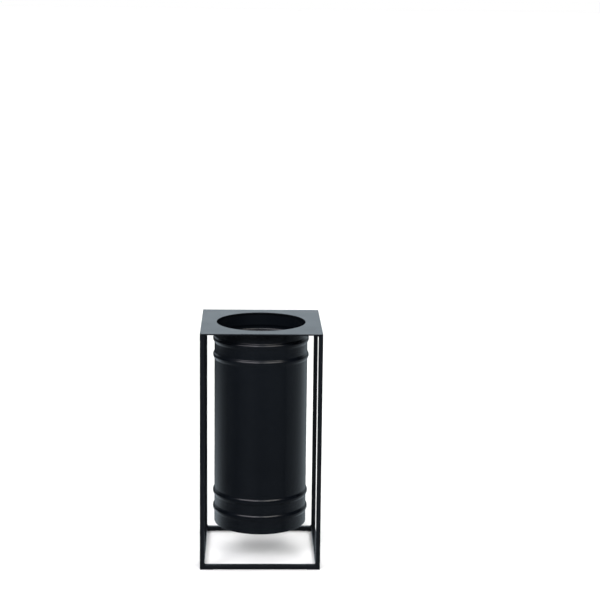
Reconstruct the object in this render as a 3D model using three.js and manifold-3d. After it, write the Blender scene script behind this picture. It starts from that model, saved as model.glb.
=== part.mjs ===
// Umbrella stand: a round sheet-steel canister hangs under a square plate with a round hole, and
// an open frame of square bar carries the plate. Everything is welded together; nothing moves.
// Units are millimetres. +Z is up, -Y is the front, and the origin is on the floor at the centre.
import * as THREE from "three";
import { mergeVertices } from "three/addons/utils/BufferGeometryUtils.js";
import Module from "manifold-3d";

const wasm = await Module();
wasm.setup();

// Frame
const SIDE = 220; // outside width and depth of the frame and the plate
const FRAME_HEIGHT = 441; // underside of the base bars to the top of the plate
const BAR = 8; // square bar, each way
const PLATE_THICKNESS = 2.5;
const HOLE_RADIUS = 82;

// Canister
const CAN_RADIUS = 86; // outside of the plain wall
const CAN_BOTTOM = 59; // underside of the canister above the floor
const WALL_THICKNESS = 0.8;
const BASE_THICKNESS = 1;
const BASE_CORNER = 2; // outside radius of the base's pressed corner
const BASE_RIM = 2.5; // height of the base's turned-up rim
const BEAD_DEPTH = 2.6; // how far a rolled bead stands out
const BEAD_CREST = 8; // outside radius over the bead's crest
const BEAD_FOOT = 3; // outside radius where the bead runs out into the wall
const BEAD_PITCH = 30.8; // between the two beads of a pair
const TOP_BEAD_DROP = 27.6; // plate underside to the middle of the first bead
const BOTTOM_BEAD_RISE = 30; // canister underside to the middle of the lowest bead

// Floor pads
const PAD_THICKNESS = 1;
const PAD_WIDTH = 7;
const PAD_LENGTH = 24;

// Fillet welds
const WELD_LEG = 2.5;
const WELD_LENGTH = 7;
const RIM_WELD_ARC = 12; // degrees round the canister that one of its welds covers
const RIM_WELD_COUNT = 8;

// Facets
const ROUND_SEGMENTS = 72;
const CREST_SEGMENTS = 4;
const FOOT_SEGMENTS = 2;
const CORNER_SEGMENTS = 3;

const TOP = PAD_THICKNESS + FRAME_HEIGHT;
const PLATE_UNDERSIDE = TOP - PLATE_THICKNESS;
const BAR_TOP = PAD_THICKNESS + BAR;
const WALL_BOTTOM = CAN_BOTTOM + BASE_RIM;
const BAR_CENTRE = (SIDE - BAR) / 2; // from the middle of the stand to a bar's centre line
const BAR_INNER = SIDE / 2 - BAR; // and to its inner face

const powderCoat = new THREE.MeshStandardMaterial({ color: 0x15181b, roughness: 0.45, metalness: 0 });
const padRubber = new THREE.MeshStandardMaterial({ color: 0x1b1b1c, roughness: 0.85, metalness: 0 });

const SIDES = { left: -1, right: 1 };
const ENDS = { front: -1, rear: 1 };

function named(name, geometry, material = powderCoat) {
  const mesh = new THREE.Mesh(geometry, material);
  mesh.name = name;
  return mesh;
}

function solidOf(geometry) {
  const bare = geometry.index ? geometry.toNonIndexed() : geometry.clone();
  bare.deleteAttribute("normal");
  bare.deleteAttribute("uv");
  const merged = mergeVertices(bare);
  const mesh = new wasm.Mesh({
    numProp: 3,
    vertProperties: merged.attributes.position.array,
    triVerts: new Uint32Array(merged.index.array),
  });
  return new wasm.Manifold(mesh);
}

function geometryOf(solid) {
  const { vertProperties, triVerts } = solid.getMesh();
  const geometry = new THREE.BufferGeometry();
  geometry.setAttribute("position", new THREE.BufferAttribute(vertProperties, 3));
  geometry.setIndex(new THREE.BufferAttribute(triVerts, 1));
  geometry.computeVertexNormals();
  return geometry;
}

// A profile of [radius, height] points turned about Z.
function turned(profile) {
  const points = profile.map(([radius, height]) => new THREE.Vector2(radius, height));
  return new THREE.LatheGeometry(points, ROUND_SEGMENTS).rotateX(Math.PI / 2);
}

// The square plate, with the round hole that umbrellas go in through.
function topPlate() {
  const half = SIDE / 2;
  const outline = new THREE.Shape([
    new THREE.Vector2(-half, -half),
    new THREE.Vector2(half, -half),
    new THREE.Vector2(half, half),
    new THREE.Vector2(-half, half),
  ]);
  outline.holes.push(new THREE.Path().absarc(0, 0, HOLE_RADIUS, 0, 2 * Math.PI, true));
  const geometry = new THREE.ExtrudeGeometry(outline, {
    depth: PLATE_THICKNESS,
    bevelEnabled: false,
    curveSegments: ROUND_SEGMENTS,
  });
  const plate = named("top_plate", geometry);
  plate.position.z = PLATE_UNDERSIDE;
  return plate;
}

// A corner post runs from its pad up to the plate.
function post(corner, side, end) {
  const height = PLATE_UNDERSIDE - PAD_THICKNESS;
  const mesh = named(`${corner}_post`, new THREE.BoxGeometry(BAR, BAR, height));
  mesh.position.set(side * BAR_CENTRE, end * BAR_CENTRE, PAD_THICKNESS + height / 2);
  return mesh;
}

// The front and rear base bars run along X, between two posts.
function crosswiseBar(endName, end) {
  const mesh = named(`${endName}_base_bar`, new THREE.BoxGeometry(2 * BAR_INNER, BAR, BAR));
  mesh.position.set(0, end * BAR_CENTRE, PAD_THICKNESS + BAR / 2);
  return mesh;
}

// The left and right base bars run along Y, between two posts.
function lengthwiseBar(sideName, side) {
  const mesh = named(`${sideName}_base_bar`, new THREE.BoxGeometry(BAR, 2 * BAR_INNER, BAR));
  mesh.position.set(side * BAR_CENTRE, 0, PAD_THICKNESS + BAR / 2);
  return mesh;
}

// A thin pad under a corner, along the front or the rear bar and a little in from its faces.
function floorPad(corner, side, end) {
  const geometry = new THREE.BoxGeometry(PAD_LENGTH, PAD_WIDTH, PAD_THICKNESS);
  const mesh = named(`${corner}_floor_pad`, geometry, padRubber);
  const inset = (BAR - PAD_WIDTH) / 2;
  const x = SIDE / 2 - inset - PAD_LENGTH / 2;
  mesh.position.set(side * x, end * BAR_CENTRE, PAD_THICKNESS / 2);
  return mesh;
}

// A straight fillet weld: a triangular prism along Y, with one leg along +X and the other along Z.
function filletWeld(name, facesDown) {
  const section = new THREE.Shape([
    new THREE.Vector2(0, 0),
    new THREE.Vector2(WELD_LEG, 0),
    new THREE.Vector2(0, WELD_LEG),
  ]);
  const geometry = new THREE.ExtrudeGeometry(section, { depth: WELD_LENGTH, bevelEnabled: false });
  geometry.translate(0, 0, -WELD_LENGTH / 2);
  geometry.rotateX(facesDown ? -Math.PI / 2 : Math.PI / 2);
  return named(name, geometry);
}

// A fillet weld on a post's inner face that looks along X: its leg runs towards the middle.
function weldOnCrosswiseFace(name, side, end, height, facesDown) {
  const weld = filletWeld(name, facesDown);
  weld.rotation.z = side > 0 ? Math.PI : 0;
  weld.position.set(side * BAR_INNER, end * BAR_CENTRE, height);
  return weld;
}

// The same on the inner face that looks along Y.
function weldOnLengthwiseFace(name, side, end, height, facesDown) {
  const weld = filletWeld(name, facesDown);
  weld.rotation.z = (-end * Math.PI) / 2;
  weld.position.set(side * BAR_CENTRE, end * BAR_INNER, height);
  return weld;
}

// Each post is welded to its two base bars from above and to the plate from below.
function cornerWelds(corner, side, end) {
  return [
    weldOnCrosswiseFace(`${corner}_crosswise_bar_weld`, side, end, BAR_TOP, false),
    weldOnLengthwiseFace(`${corner}_lengthwise_bar_weld`, side, end, BAR_TOP, false),
    weldOnCrosswiseFace(`${corner}_crosswise_plate_weld`, side, end, PLATE_UNDERSIDE, true),
    weldOnLengthwiseFace(`${corner}_lengthwise_plate_weld`, side, end, PLATE_UNDERSIDE, true),
  ];
}

// Heights of the middles of the four rolled beads, from the lowest up.
function beadHeights() {
  const lowest = CAN_BOTTOM + BOTTOM_BEAD_RISE;
  const highest = PLATE_UNDERSIDE - TOP_BEAD_DROP;
  return [lowest, lowest + BEAD_PITCH, highest - BEAD_PITCH, highest];
}

// One bead on a face of the wall, from its lower end to its upper one: a foot arc, a crest arc
// and a foot arc, each tangent to the next. depthInSheet is 0 on the outside of the sheet.
function beadFace(radius, height, depthInSheet) {
  const crest = BEAD_CREST - depthInSheet;
  const foot = BEAD_FOOT + depthInSheet;
  const reach = Math.sqrt(2 * (crest + foot) * BEAD_DEPTH - BEAD_DEPTH ** 2);
  const slope = Math.asin(reach / (crest + foot));
  const lower = [];
  for (let i = 0; i < FOOT_SEGMENTS; i++) {
    const angle = (slope * i) / FOOT_SEGMENTS;
    lower.push([radius + foot * (1 - Math.cos(angle)), height - reach + foot * Math.sin(angle)]);
  }
  const upper = lower.map(([r, z]) => [r, 2 * height - z]).reverse();
  const top = [];
  for (let i = 0; i <= CREST_SEGMENTS; i++) {
    const angle = slope * ((2 * i) / CREST_SEGMENTS - 1);
    top.push([radius + BEAD_DEPTH - crest * (1 - Math.cos(angle)), height + crest * Math.sin(angle)]);
  }
  return [...lower, ...top, ...upper];
}

// One face of the canister's wall from bottom to top.
function wallFace(depthInSheet) {
  const radius = CAN_RADIUS - depthInSheet;
  const beads = beadHeights().flatMap((height) => beadFace(radius, height, depthInSheet));
  return [[radius, WALL_BOTTOM], ...beads, [radius, PLATE_UNDERSIDE]];
}

// The wall is rolled from sheet, with two beads near each end.
function canisterWall() {
  const outside = wallFace(0);
  const inside = wallFace(WALL_THICKNESS).reverse();
  return named("canister_wall", turned([...outside, ...inside, outside[0]]));
}

// A quarter turn from the base's underside to its side, about the centre of its pressed corner.
function cornerArc(radius) {
  const arc = [];
  for (let i = 0; i <= CORNER_SEGMENTS; i++) {
    const angle = (Math.PI / 2) * (i / CORNER_SEGMENTS - 1);
    const centre = [CAN_RADIUS - BASE_CORNER, CAN_BOTTOM + BASE_CORNER];
    arc.push([centre[0] + radius * Math.cos(angle), centre[1] + radius * Math.sin(angle)]);
  }
  return arc;
}

// The base is a pressed disc whose short turned-up rim meets the wall's lower edge.
function canisterBase() {
  const profile = [
    [0, CAN_BOTTOM],
    ...cornerArc(BASE_CORNER),
    [CAN_RADIUS, WALL_BOTTOM],
    [CAN_RADIUS - BASE_THICKNESS, WALL_BOTTOM],
    ...cornerArc(BASE_CORNER - BASE_THICKNESS).reverse(),
    [0, CAN_BOTTOM + BASE_THICKNESS],
  ];
  return named("canister_base", turned(profile));
}

// Short curved fillets round the canister's top edge hold it to the plate's underside.
function rimWelds() {
  const section = [
    [CAN_RADIUS, PLATE_UNDERSIDE - WELD_LEG],
    [CAN_RADIUS + WELD_LEG, PLATE_UNDERSIDE],
    [CAN_RADIUS, PLATE_UNDERSIDE],
    [CAN_RADIUS, PLATE_UNDERSIDE - WELD_LEG],
  ];
  const ring = solidOf(turned(section));
  const reach = SIDE / 2;
  const halfArc = THREE.MathUtils.degToRad(RIM_WELD_ARC / 2);
  const welds = [];
  for (let i = 0; i < RIM_WELD_COUNT; i++) {
    const middle = ((i + 0.5) * 2 * Math.PI) / RIM_WELD_COUNT;
    const wedge = new THREE.Shape([
      new THREE.Vector2(0, 0),
      new THREE.Vector2(reach * Math.cos(middle - halfArc), reach * Math.sin(middle - halfArc)),
      new THREE.Vector2(reach * Math.cos(middle + halfArc), reach * Math.sin(middle + halfArc)),
    ]);
    const slice = new THREE.ExtrudeGeometry(wedge, { depth: TOP, bevelEnabled: false });
    const weld = ring.intersect(solidOf(slice));
    welds.push(named(`canister_rim_weld_${i + 1}`, geometryOf(weld)));
  }
  return welds;
}

const stand = new THREE.Group();
stand.add(topPlate(), canisterWall(), canisterBase(), ...rimWelds());
for (const [endName, end] of Object.entries(ENDS)) {
  stand.add(crosswiseBar(endName, end));
  for (const [sideName, side] of Object.entries(SIDES)) {
    const corner = `${endName}_${sideName}`;
    stand.add(post(corner, side, end));
    stand.add(floorPad(corner, side, end));
    stand.add(...cornerWelds(corner, side, end));
  }
}
for (const [sideName, side] of Object.entries(SIDES)) {
  stand.add(lengthwiseBar(sideName, side));
}

export default stand;
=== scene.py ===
"""Looks of the umbrella stand: powder-coated steel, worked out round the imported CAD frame."""

import math
import random

import bmesh
import bpy
from mathutils import Matrix, Vector


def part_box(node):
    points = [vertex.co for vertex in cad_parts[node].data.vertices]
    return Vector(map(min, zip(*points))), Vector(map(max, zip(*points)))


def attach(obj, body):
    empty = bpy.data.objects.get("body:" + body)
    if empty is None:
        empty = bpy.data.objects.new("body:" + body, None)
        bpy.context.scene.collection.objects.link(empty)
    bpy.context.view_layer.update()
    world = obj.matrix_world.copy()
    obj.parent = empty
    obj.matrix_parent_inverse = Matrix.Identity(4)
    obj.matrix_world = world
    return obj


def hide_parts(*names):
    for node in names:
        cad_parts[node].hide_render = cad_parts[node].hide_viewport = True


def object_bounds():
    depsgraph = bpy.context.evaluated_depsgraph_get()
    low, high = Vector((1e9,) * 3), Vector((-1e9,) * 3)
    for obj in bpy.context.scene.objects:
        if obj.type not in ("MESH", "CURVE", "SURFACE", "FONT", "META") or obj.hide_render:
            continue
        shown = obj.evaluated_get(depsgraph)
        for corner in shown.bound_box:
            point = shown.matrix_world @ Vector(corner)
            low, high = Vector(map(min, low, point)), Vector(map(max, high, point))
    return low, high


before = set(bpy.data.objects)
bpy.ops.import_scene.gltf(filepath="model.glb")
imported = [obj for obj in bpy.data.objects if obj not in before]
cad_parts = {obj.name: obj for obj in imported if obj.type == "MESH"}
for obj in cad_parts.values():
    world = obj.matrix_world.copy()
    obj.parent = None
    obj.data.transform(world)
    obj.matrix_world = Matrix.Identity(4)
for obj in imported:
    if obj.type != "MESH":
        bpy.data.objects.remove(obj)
cad_low, cad_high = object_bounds()

MM = 0.001

# Shapes that the frame leaves to the looks
BAR_EDGE = 0.45 * MM  # rounding of a bar's long edges
PLATE_EDGE = 0.25 * MM
PAD_EDGE = 0.35 * MM
WALL_THICKNESS = 0.8 * MM
BASE_THICKNESS = 1.0 * MM
BASE_CORNER = 2.0 * MM
BEAD_CREST_RADIUS = 8.0 * MM
BEAD_FOOT_RADIUS = 3.0 * MM
SEAM_HEIGHT = 0.25 * MM  # the wall's dressed lengthwise weld
SEAM_WIDTH = 2.4 * MM
WELD_OVERLAP = 0.02 * MM  # how far a rim weld reaches into the wall
WELD_RIPPLE = 1.3 * MM  # length of one ripple
WELD_RIPPLE_DEPTH = 0.07  # share of the weld's size
WELD_END = 0.35  # a weld's size at its very ends, as a share of its size in the middle
WELD_HOLLOW = 0.36  # how far the weld's face falls short of a quarter circle
WELD_HOLLOW_FILLED = 0.25  # share of the hollow that the top of a ripple fills
HOLE_SEGMENTS = 256
WALL_SEGMENTS = 256
SEAM_SEGMENTS = 48  # narrower segments across the seam
BAR_EDGE_SEGMENTS = 3
BEAD_ARC_SEGMENTS = 8
BASE_CORNER_SEGMENTS = 8
FILLET_SEGMENTS = 8
STRAIGHT_WELD_SEGMENTS = 28
RIM_WELD_SEGMENTS = 56

# Coats. Scales are noise cells per metre.
CLOUD_SCALE = 28
PEEL_SCALE = 850
PEEL_HEIGHT = 0.08 * MM
GRAIN_SCALE = 3200
GRAIN_HEIGHT = 0.01 * MM
COAT_ROUGHNESS = 0.24
COAT_ROUGHNESS_SPREAD = 0.015
RUBBER_GRAIN_SCALE = 1500
RUBBER_GRAIN_HEIGHT = 0.05 * MM

# Camera
CAMERA_PLACE = Vector((-0.0248, -2.8984, 1.0556))
CAMERA_HEADING = 0.03315  # radians right of +Y
CAMERA_PITCH = 0.195  # radians below the horizon
CAMERA_ROLL = 0.01168
CAMERA_LENS = 96.23
CAMERA_SENSOR = 36.0

# Studio. Brightness round the object by compass bearing: degrees clockwise from the rear, +Y.
SWEEP_TINT = (0.87, 1.0, 1.1)
SWEEP_NEAR = (
    (-180, 0.15),
    (-155, 0.18),
    (-130, 0.13),
    (-110, 0.12),
    (-90, 0.25),
    (-70, 0.6),
    (-55, 1.05),
    (-40, 1.15),
    (-15, 0.6),
    (40, 0.47),
    (62, 0.54),
    (90, 0.41),
    (110, 0.18),
    (130, 0.13),
    (155, 0.19),
    (180, 0.15),
)  # the sweep's floor, seen about 20 degrees down
SWEEP_FAR = (
    (-180, 0.0),
    (-155, 0.1),
    (-110, 0.0),
    (10, 0.0),
    (40, 0.67),
    (55, 0.5),
    (70, 0.28),
    (90, 0.1),
    (130, 0.07),
    (180, 0.0),
)  # the sweep near the horizon
BACKDROP_LIGHT = 1.0  # the white wall low behind the object
FLOOR_LIGHT = 0.6  # the sweep's floor close behind the object
FLOOR_LIGHT_AHEAD = 0.1

# Where each band of the studio begins and is full: heights and depths of the unit vector towards it
NEAR_BAND = (-0.22, -0.37)
FLOOR_BAND = (-0.37, -0.5)
FAR_BAND = (0.0, -0.2)
BACKDROP_FOOT = (0.0, 0.12)
BACKDROP_TOP = (0.44, 0.26)
BACKDROP_DEPTH = (0.4, 0.95)
FLOOR_DEPTH = (0.1, 0.9)
DAYLIGHT = (
    ("left daylight", -60, 32, 0.9, 45),
    ("front left daylight", -143, 34, 1.6, 22),
    ("front right daylight", 153, 34, 1.55, 22),
    ("rear right daylight", 22, 40, 2.0, 58),
    ("rear left daylight", -10, 60, 0.3, 25),
    ("top daylight", 0, 90, 0.4, 40),
)  # bearing and height in degrees, strength, spread in degrees; for the floor and the coats' dull part
SOFTBOXES = (
    ("left softbox", -145, 38, 0.72, (0.97, 0.94, 1.0), 3.8),
    ("middle softbox", 178, 35, 0.42, (0.9, 0.94, 1.0), 1.3),
    ("right softbox", 148, 38, 0.5, (1.0, 0.97, 0.93), 3.4),
)  # bearing and height in degrees, width in metres, colour, brightness
SOFTBOX_DISTANCE = 0.85
SOFTBOX_HEIGHT = 0.3


# ---------------------------------------------------------------- meshes

def finished(name, bm, material, replaced):
    """A mesh object made from bm, riding on the frame in place of the CAD nodes named."""
    bmesh.ops.recalc_face_normals(bm, faces=bm.faces)
    mesh = bpy.data.meshes.new(name)
    bm.to_mesh(mesh)
    bm.free()
    mesh.materials.append(material)
    piece = bpy.data.objects.new(name, mesh)
    bpy.context.scene.collection.objects.link(piece)
    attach(piece, "root")
    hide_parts(*replaced)
    return piece


def shade_smooth(piece, crease_degrees):
    """Smooth shading everywhere but at edges sharper than the angle given."""
    for face in piece.data.polygons:
        face.use_smooth = True
    piece.data.set_sharp_from_angle(angle=math.radians(crease_degrees))


def round_edges(piece, width, segments=3):
    """Rounds the piece's sharp edges and keeps its flat faces flat in the shading."""
    bevel = piece.modifiers.new("edges", "BEVEL")
    bevel.width = width
    bevel.segments = segments
    bevel.limit_method = "ANGLE"
    bevel.angle_limit = math.radians(40)
    normals = piece.modifiers.new("normals", "WEIGHTED_NORMAL")
    normals.keep_sharp = False
    for face in piece.data.polygons:
        face.use_smooth = True


def loops_joined(bm, loops, closed=True):
    """Quads between each two neighbouring loops of vertices, and from the last to the first if closed."""
    pairs = list(zip(loops, loops[1:]))
    if closed:
        pairs.append((loops[-1], loops[0]))
    for a, b in pairs:
        for i in range(len(a)):
            j = (i + 1) % len(a)
            bm.faces.new((a[i], a[j], b[j], b[i]))


# ---------------------------------------------------------------- frame pieces

def plate_piece(material):
    """The square plate with its round hole, as rings of quads from the hole out to the square."""
    low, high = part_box("top_plate")
    half = high.x
    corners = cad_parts["top_plate"].data.vertices
    hole = min(math.hypot(v.co.x, v.co.y) for v in corners)
    bm = bmesh.new()

    def ring(z, square):
        made = []
        for i in range(HOLE_SEGMENTS):
            a = 2 * math.pi * i / HOLE_SEGMENTS
            reach = half / max(abs(math.cos(a)), abs(math.sin(a))) if square else hole
            made.append(bm.verts.new((reach * math.cos(a), reach * math.sin(a), z)))
        return made

    loops = [ring(high.z, False), ring(high.z, True), ring(low.z, True), ring(low.z, False)]
    loops_joined(bm, loops)
    piece = finished("top_plate_shape", bm, material, ["top_plate"])
    round_edges(piece, PLATE_EDGE)
    return piece


def bar_piece(node, axis, lengthen, material):
    """A square bar along an axis, with rounded long edges. Its ends can run on into the posts' rounding."""
    low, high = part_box(node)
    low[axis] -= lengthen
    high[axis] += lengthen
    others = [i for i in range(3) if i != axis]
    bm = bmesh.new()
    section = []
    edge = BAR_EDGE
    corners = [(high, high, 0), (low, high, 1), (low, low, 2), (high, low, 3)]
    for side_a, side_b, quarter in corners:
        sign_a = 1 if side_a is high else -1
        sign_b = 1 if side_b is high else -1
        centre_a = side_a[others[0]] - sign_a * edge
        centre_b = side_b[others[1]] - sign_b * edge
        for k in range(BAR_EDGE_SEGMENTS + 1):
            angle = math.pi / 2 * (quarter + k / BAR_EDGE_SEGMENTS)
            section.append((centre_a + edge * math.cos(angle), centre_b + edge * math.sin(angle)))
    ends = []
    for place in (low[axis], high[axis]):
        loop = []
        for a, b in section:
            point = [0.0, 0.0, 0.0]
            point[axis], point[others[0]], point[others[1]] = place, a, b
            loop.append(bm.verts.new(point))
        ends.append(loop)
    loops_joined(bm, ends, closed=False)
    for loop in ends:
        bm.faces.new(loop)
    piece = finished(f"{node}_shape", bm, material, [node])
    shade_smooth(piece, 50)
    normals = piece.modifiers.new("normals", "WEIGHTED_NORMAL")
    normals.keep_sharp = True
    return piece


def pad_piece(node, material):
    """A floor pad: a flat block of the CAD's size with softened edges."""
    low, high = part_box(node)
    bm = bmesh.new()
    bmesh.ops.create_cube(bm, size=1.0)
    size = high - low
    for v in bm.verts:
        v.co = Vector(low + Vector((v.co[i] + 0.5) * size[i] for i in range(3)))
    piece = finished(f"{node}_shape", bm, material, [node])
    round_edges(piece, PAD_EDGE)
    return piece


# ---------------------------------------------------------------- canister

def wall_angles():
    """Angles round the wall, closer together at the seam, which faces the rear."""
    seam = math.pi / 2
    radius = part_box("canister_base")[1].x
    near = 3 * SEAM_WIDTH / radius
    fine = [seam + near * (2 * i / SEAM_SEGMENTS - 1) for i in range(SEAM_SEGMENTS + 1)]
    coarse = [2 * math.pi * i / WALL_SEGMENTS for i in range(WALL_SEGMENTS)]
    kept = [a for a in coarse if abs(a - seam) > near * 1.05]
    return sorted(kept + fine)


def seam_rise(angle, radius):
    """How far the dressed seam stands proud of the wall at an angle round it."""
    across = (angle - math.pi / 2) * radius
    return SEAM_HEIGHT * math.exp(-((across / (SEAM_WIDTH / 2)) ** 2))


def bead_profile(radius, centre, depth, crest, foot):
    """Points of one bead, from its lower foot to its upper one: three arcs, each tangent to the next."""
    reach = math.sqrt(2 * (crest + foot) * depth - depth ** 2)
    slope = math.asin(reach / (crest + foot))
    points = []
    steps = BEAD_ARC_SEGMENTS
    for k in range(steps + 1):
        a = slope * k / steps
        points.append((radius + foot - foot * math.cos(a), centre - reach + foot * math.sin(a)))
    for k in range(1, 2 * steps):
        a = slope * (k / steps - 1)
        points.append((radius + depth - crest + crest * math.cos(a), centre + crest * math.sin(a)))
    for k in range(steps + 1):
        a = slope * (1 - k / steps)
        points.append((radius + foot - foot * math.cos(a), centre + reach - foot * math.sin(a)))
    return points


def wall_piece(material):
    """The rolled wall: beads show outside and, as grooves, inside."""
    low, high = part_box("canister_wall")
    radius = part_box("canister_base")[1].x
    depth = high.x - radius
    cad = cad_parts["canister_wall"].data.vertices
    crests = sorted({round(v.co.z, 4) for v in cad if math.hypot(v.co.x, v.co.y) > high.x - 1e-5})
    outer = [(radius, low.z)]
    inner = [(radius - WALL_THICKNESS, low.z)]
    for centre in crests:
        outer += bead_profile(radius, centre, depth, BEAD_CREST_RADIUS, BEAD_FOOT_RADIUS)
        inner += bead_profile(
            radius - WALL_THICKNESS,
            centre,
            depth,
            BEAD_CREST_RADIUS - WALL_THICKNESS,
            BEAD_FOOT_RADIUS + WALL_THICKNESS,
        )
    outer.append((radius, high.z))
    inner.append((radius - WALL_THICKNESS, high.z))
    angles = wall_angles()
    bm = bmesh.new()
    loops = []
    for profile, sign in ((outer, 1), (inner[::-1], -1)):
        for r, z in profile:
            loop = []
            for a in angles:
                out = r + sign * seam_rise(a, radius)
                loop.append(bm.verts.new((out * math.cos(a), out * math.sin(a), z)))
            loops.append(loop)
    loops_joined(bm, loops)
    piece = finished("canister_wall_shape", bm, material, ["canister_wall"])
    shade_smooth(piece, 40)
    return piece


def base_piece(material):
    """The pressed disc that closes the canister, with a rounded corner and a short turned-up rim."""
    low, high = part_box("canister_base")
    radius = high.x
    steps = BASE_CORNER_SEGMENTS

    def corner(r):
        return [
            (
                radius - BASE_CORNER + r * math.sin(math.pi / 2 * k / steps),
                low.z + BASE_CORNER - r * math.cos(math.pi / 2 * k / steps),
            )
            for k in range(steps + 1)
        ]

    inside = radius - BASE_THICKNESS
    profile = [(radius * share, low.z) for share in (0.25, 0.5, 0.75, 0.95)]
    profile += corner(BASE_CORNER)
    profile += [(radius, high.z), (inside, high.z)]
    profile += corner(BASE_CORNER - BASE_THICKNESS)[::-1]
    profile += [(radius * share, low.z + BASE_THICKNESS) for share in (0.95, 0.75, 0.5, 0.25)]
    bm = bmesh.new()
    loops = []
    for r, z in profile:
        turns = [2 * math.pi * i / WALL_SEGMENTS for i in range(WALL_SEGMENTS)]
        loops.append([bm.verts.new((r * math.cos(a), r * math.sin(a), z)) for a in turns])
    loops_joined(bm, loops, closed=False)
    for loop, z in ((loops[0], low.z), (loops[-1], low.z + BASE_THICKNESS)):
        middle = bm.verts.new((0, 0, z))
        for i in range(len(loop)):
            bm.faces.new((loop[i], loop[(i + 1) % len(loop)], middle))
    piece = finished("canister_base_shape", bm, material, ["canister_base"])
    shade_smooth(piece, 40)
    return piece


# ---------------------------------------------------------------- welds

def weld_piece(node, places, leg, material, seed):
    """A rippled fillet weld. places is a list of (corner point, leg direction, leg direction)."""
    rng = random.Random(seed)
    count = len(places)
    ripples = max(3, round((places[0][0] - places[-1][0]).length / WELD_RIPPLE))
    phase = rng.uniform(0, 1)
    bm = bmesh.new()
    loops = []
    for i, (corner, first, second) in enumerate(places):
        t = i / (count - 1)
        ends = max(0.0, 1 - abs(2 * t - 1) ** 6) ** 0.5
        wave = abs(math.sin(math.pi * (ripples * t + phase)))
        size = leg * (WELD_END + (1 - WELD_END) * ends) * (1 - WELD_RIPPLE_DEPTH * (1 - wave))
        loop = [bm.verts.new(corner)]
        for k in range(FILLET_SEGMENTS + 1):
            a = math.pi / 2 * k / FILLET_SEGMENTS
            swell = 1 - WELD_HOLLOW * math.sin(2 * a) * (1 - WELD_HOLLOW_FILLED * wave)
            reach = size * swell
            loop.append(bm.verts.new(corner + first * reach * math.cos(a) + second * reach * math.sin(a)))
        loops.append(loop)
    loops_joined(bm, loops, closed=False)
    bm.faces.new(loops[0])
    bm.faces.new(loops[-1])
    piece = finished(f"{node}_shape", bm, material, [node])
    shade_smooth(piece, 60)
    return piece


def straight_weld(node, material, seed):
    """Reads a frame weld's place from its CAD box: its length runs along its longer level side."""
    low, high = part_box(node)
    size = high - low
    along = 0 if size.x > size.y else 1
    across = 1 - along
    middle = (low + high) / 2
    up = 1 if low.z < cad_high.z / 2 else -1
    inward = -1 if middle[across] > 0 else 1
    corner = Vector(middle)
    corner.z = low.z if up > 0 else high.z
    corner[across] = high[across] if inward < 0 else low[across]
    first, second = Vector((0, 0, 0)), Vector((0, 0, up))
    first[across] = inward
    places = []
    for i in range(STRAIGHT_WELD_SEGMENTS + 1):
        point = Vector(corner)
        point[along] = low[along] + size[along] * i / STRAIGHT_WELD_SEGMENTS
        places.append((point, first, second))
    return weld_piece(node, places, size.z, material, seed)


def rim_weld(node, material, seed):
    """A weld along part of the circle where the wall meets the plate."""
    low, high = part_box(node)
    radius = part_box("canister_base")[1].x
    leg = high.z - low.z
    turns = [math.atan2(v.co.y, v.co.x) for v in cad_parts[node].data.vertices]
    if max(turns) - min(turns) > math.pi:
        turns = [t % (2 * math.pi) for t in turns]
    first_turn, last_turn = min(turns), max(turns)
    places = []
    for i in range(RIM_WELD_SEGMENTS + 1):
        a = first_turn + (last_turn - first_turn) * i / RIM_WELD_SEGMENTS
        out = Vector((math.cos(a), math.sin(a), 0))
        corner = out * (radius - WELD_OVERLAP)
        corner.z = high.z
        places.append((corner, out, Vector((0, 0, -1))))
    return weld_piece(node, places, leg, material, seed)


# ---------------------------------------------------------------- materials

def new_material(name):
    material = bpy.data.materials.new(name)
    material.use_nodes = True
    tree = material.node_tree
    shader = next(n for n in tree.nodes if n.type == "BSDF_PRINCIPLED")
    return material, tree, shader


def noise(tree, vector, scale, detail, roughness=0.5):
    node = tree.nodes.new("ShaderNodeTexNoise")
    node.inputs["Scale"].default_value = scale
    node.inputs["Detail"].default_value = detail
    node.inputs["Roughness"].default_value = roughness
    tree.links.new(vector, node.inputs["Vector"])
    return node.outputs["Fac"]


def map_range(tree, value, low, high, to_low, to_high, smooth=False):
    node = tree.nodes.new("ShaderNodeMapRange")
    if smooth:
        node.interpolation_type = "SMOOTHSTEP"
    for name, number in (
        ("From Min", low),
        ("From Max", high),
        ("To Min", to_low),
        ("To Max", to_high),
    ):
        node.inputs[name].default_value = number
    tree.links.new(value, node.inputs["Value"])
    return node.outputs["Result"]


def calculated(tree, operation, first, second):
    """A Math node. Each input is a socket or a plain number."""
    node = tree.nodes.new("ShaderNodeMath")
    node.operation = operation
    for socket, value in zip(node.inputs, (first, second)):
        if isinstance(value, (int, float)):
            socket.default_value = value
        else:
            tree.links.new(value, socket)
    return node.outputs["Value"]


def mix_colour(tree, share, dark, light):
    node = tree.nodes.new("ShaderNodeMix")
    node.data_type = "RGBA"
    node.inputs["A"].default_value = (*dark, 1)
    node.inputs["B"].default_value = (*light, 1)
    tree.links.new(share, node.inputs["Factor"])
    return node.outputs["Result"]


def bump(tree, height, distance, strength, under=None):
    node = tree.nodes.new("ShaderNodeBump")
    node.inputs["Distance"].default_value = distance
    node.inputs["Strength"].default_value = strength
    tree.links.new(height, node.inputs["Height"])
    if under is not None:
        tree.links.new(under, node.inputs["Normal"])
    return node.outputs["Normal"]


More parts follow.
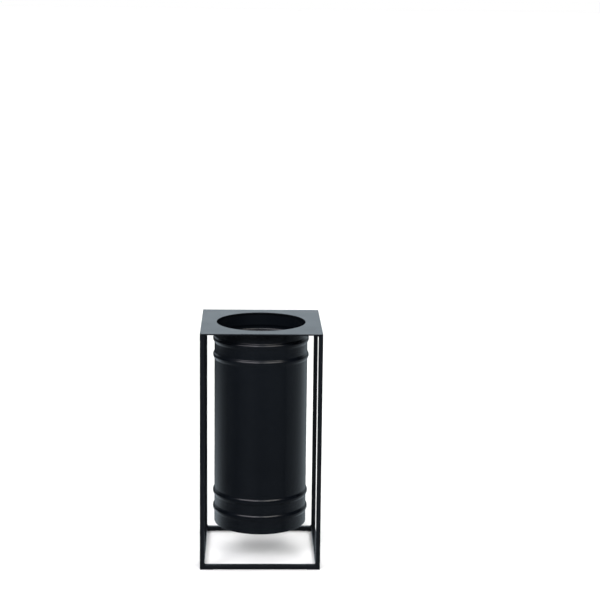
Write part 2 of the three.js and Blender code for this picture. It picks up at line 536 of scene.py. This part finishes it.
def powder_coat(name, dark, light):
    """Satin powder coat: an orange-peel skin, slow changes of thickness, and fine specks."""
    material, tree, shader = new_material(name)
    place = tree.nodes.new("ShaderNodeTexCoord").outputs["Object"]
    cloud = noise(tree, place, CLOUD_SCALE, 3)
    peel = noise(tree, place, PEEL_SCALE, 2, 0.6)
    grain = noise(tree, place, GRAIN_SCALE, 2, 0.6)
    tree.links.new(mix_colour(tree, cloud, dark, light), shader.inputs["Base Color"])
    smoothest = COAT_ROUGHNESS - COAT_ROUGHNESS_SPREAD
    roughest = COAT_ROUGHNESS + COAT_ROUGHNESS_SPREAD
    tree.links.new(
        map_range(tree, cloud, 0.3, 0.7, smoothest, roughest),
        shader.inputs["Roughness"],
    )
    skin = bump(tree, peel, PEEL_HEIGHT, 0.4)
    skin = bump(tree, grain, GRAIN_HEIGHT, 0.3, skin)
    tree.links.new(skin, shader.inputs["Normal"])
    return material


def rubber(name):
    """Matt black rubber with a fine grain."""
    material, tree, shader = new_material(name)
    place = tree.nodes.new("ShaderNodeTexCoord").outputs["Object"]
    grain = noise(tree, place, RUBBER_GRAIN_SCALE, 3, 0.6)
    tree.links.new(
        mix_colour(tree, grain, (0.008, 0.008, 0.008), (0.016, 0.016, 0.017)),
        shader.inputs["Base Color"],
    )
    tree.links.new(map_range(tree, grain, 0.3, 0.7, 0.75, 0.9), shader.inputs["Roughness"])
    tree.links.new(bump(tree, grain, RUBBER_GRAIN_HEIGHT, 0.6), shader.inputs["Normal"])
    return material


def build():
    """Every piece of the stand, each in place of its CAD solid."""
    frame_coat = powder_coat("frame_coat", (0.0034, 0.0042, 0.0058), (0.0046, 0.0056, 0.0076))
    can_coat = powder_coat("canister_coat", (0.0021, 0.0030, 0.0046), (0.0030, 0.0042, 0.0062))
    pads = rubber("pad_rubber")
    plate_piece(frame_coat)
    wall_piece(can_coat)
    base_piece(can_coat)
    for end in ("front", "rear"):
        bar_piece(f"{end}_base_bar", 0, BAR_EDGE, frame_coat)
        for side in ("left", "right"):
            bar_piece(f"{end}_{side}_post", 2, 0.0, frame_coat)
            pad_piece(f"{end}_{side}_floor_pad", pads)
    for side in ("left", "right"):
        bar_piece(f"{side}_base_bar", 1, BAR_EDGE, frame_coat)
    for seed, node in enumerate(sorted(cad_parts)):
        if node.startswith("canister_rim_weld"):
            rim_weld(node, can_coat, seed)
        elif node.endswith("_weld"):
            straight_weld(node, frame_coat, seed)


# ---------------------------------------------------------------- stage

def make_floor():
    """A plain white floor. The coats don't mirror it: the world holds the sweep's brightness for them."""
    bm = bmesh.new()
    bmesh.ops.create_grid(bm, x_segments=1, y_segments=1, size=60.0)
    mesh = bpy.data.meshes.new("floor")
    bm.to_mesh(mesh)
    bm.free()
    material, tree, shader = new_material("floor")
    shader.inputs["Base Color"].default_value = (0.9, 0.9, 0.9, 1)
    shader.inputs["Roughness"].default_value = 0.9
    shader.inputs["Specular IOR Level"].default_value = 0.0
    mesh.materials.append(material)
    floor = bpy.data.objects.new("floor", mesh)
    bpy.context.scene.collection.objects.link(floor)
    floor.visible_glossy = False


def make_camera():
    """A long lens in front of the stand, looking a little down."""
    data = bpy.data.cameras.new("camera")
    data.lens = CAMERA_LENS
    data.sensor_width = CAMERA_SENSOR
    camera = bpy.data.objects.new("camera", data)
    turn = (
        Matrix.Rotation(-CAMERA_HEADING, 4, "Z")
        @ Matrix.Rotation(math.pi / 2 - CAMERA_PITCH, 4, "X")
        @ Matrix.Rotation(CAMERA_ROLL, 4, "Z")
    )
    camera.matrix_world = Matrix.Translation(CAMERA_PLACE) @ turn
    bpy.context.scene.collection.objects.link(camera)
    bpy.context.scene.camera = camera


def bearing_ramp(tree, bearing, stops):
    """A brightness by bearing. The bearing comes in as a share of the whole turn."""
    ramp = tree.nodes.new("ShaderNodeValToRGB")
    elements = ramp.color_ramp.elements
    elements[0].position = 0.0
    elements[1].position = 1.0
    for degrees, _ in stops[1:-1]:
        elements.new((degrees + 180) / 360)
    for element, (_, value) in zip(elements, stops):
        element.color = (value, value, value, 1)
    tree.links.new(bearing, ramp.inputs["Fac"])
    return ramp.outputs["Color"]


def make_world():
    """A white sweep on the floor and low behind the object, in a dim room."""
    world = bpy.data.worlds.new("studio")
    bpy.context.scene.world = world
    world.use_nodes = True
    tree = world.node_tree
    output = next(n for n in tree.nodes if n.type == "OUTPUT_WORLD")
    surroundings = next(n for n in tree.nodes if n.type == "BACKGROUND")
    direction = tree.nodes.new("ShaderNodeTexCoord").outputs["Generated"]
    split = tree.nodes.new("ShaderNodeSeparateXYZ")
    tree.links.new(direction, split.inputs["Vector"])
    height = split.outputs["Z"]
    bearing = calculated(tree, "ARCTAN2", split.outputs["X"], split.outputs["Y"])
    bearing = map_range(tree, bearing, -math.pi, math.pi, 0, 1)
    rearward = map_range(tree, split.outputs["Y"], *BACKDROP_DEPTH, 0.0, 1.0, smooth=True)

    # each ramp holds half its brightness, to keep its stops under 1, and its share runs to 2
    near = bearing_ramp(tree, bearing, [(d, v / 2) for d, v in SWEEP_NEAR])
    far = bearing_ramp(tree, bearing, [(d, v / 2) for d, v in SWEEP_FAR])
    near_share = map_range(tree, height, *NEAR_BAND, 0.0, 2.0)
    far_share = calculated(tree, "SUBTRACT", 2.0, near_share)
    below_horizon = map_range(tree, height, *FAR_BAND, 0.0, 1.0)
    far_share = calculated(tree, "MULTIPLY", far_share, below_horizon)
    level = calculated(
        tree,
        "ADD",
        calculated(tree, "MULTIPLY", near, near_share),
        calculated(tree, "MULTIPLY", far, far_share),
    )

    # the floor close by, under the object
    under = map_range(
        tree, split.outputs["Y"], *FLOOR_DEPTH, FLOOR_LIGHT_AHEAD, FLOOR_LIGHT, smooth=True
    )
    down = map_range(tree, height, *FLOOR_BAND, 0.0, 1.0)
    gap = calculated(tree, "SUBTRACT", under, level)
    level = calculated(tree, "ADD", level, calculated(tree, "MULTIPLY", gap, down))

    # the backdrop, low behind the object
    rising = map_range(tree, height, *BACKDROP_FOOT, 0.0, 1.0)
    falling = map_range(tree, height, *BACKDROP_TOP, 0.0, 1.0, smooth=True)
    backdrop = calculated(tree, "MULTIPLY", rising, falling)
    backdrop = calculated(tree, "MULTIPLY", backdrop, rearward)
    backdrop = calculated(tree, "MULTIPLY", backdrop, BACKDROP_LIGHT)
    level = calculated(tree, "ADD", level, backdrop)
    tree.links.new(level, surroundings.inputs["Strength"])
    surroundings.inputs["Color"].default_value = (*SWEEP_TINT, 1)

    seen = tree.nodes.new("ShaderNodeBackground")
    seen.inputs["Color"].default_value = (1, 1, 1, 1)
    path = tree.nodes.new("ShaderNodeLightPath")
    both = tree.nodes.new("ShaderNodeMixShader")
    tree.links.new(path.outputs["Is Camera Ray"], both.inputs["Fac"])
    tree.links.new(surroundings.outputs["Background"], both.inputs[1])
    tree.links.new(seen.outputs["Background"], both.inputs[2])
    tree.links.new(both.outputs["Shader"], output.inputs["Surface"])


def towards(bearing, height):
    """The unit vector to a bearing and height, both in degrees."""
    b, h = math.radians(bearing), math.radians(height)
    return Vector((math.sin(b) * math.cos(h), math.cos(b) * math.cos(h), math.sin(h)))


def add_light(data, place, way):
    """Puts a light at a place, shining against the way given, which points to the light."""
    light = bpy.data.objects.new(data.name, data)
    light.location = place
    light.rotation_euler = (-way).to_track_quat("-Z", "Y").to_euler()
    bpy.context.scene.collection.objects.link(light)
    return light


def make_lights():
    """Broad daylight that isn't mirrored, and the softboxes that draw the bright lines on the beads."""
    for name, bearing, height, strength, spread in DAYLIGHT:
        data = bpy.data.lights.new(name, "SUN")
        data.energy = strength
        data.angle = math.radians(spread)
        light = add_light(data, (0, 0, 1), towards(bearing, height))
        light.visible_glossy = False
    middle = Vector((0, 0, cad_high.z * 0.6))
    for name, bearing, height, width, colour, brightness in SOFTBOXES:
        data = bpy.data.lights.new(name, "AREA")
        data.shape = "RECTANGLE"
        data.size = width
        data.size_y = SOFTBOX_HEIGHT
        data.color = colour
        data.energy = brightness * math.pi * width * SOFTBOX_HEIGHT
        way = towards(bearing, height)
        add_light(data, middle + way * SOFTBOX_DISTANCE, way)


make_camera()
build()
make_floor()
make_world()
make_lights()
bpy.context.scene.view_settings.view_transform = "Standard"
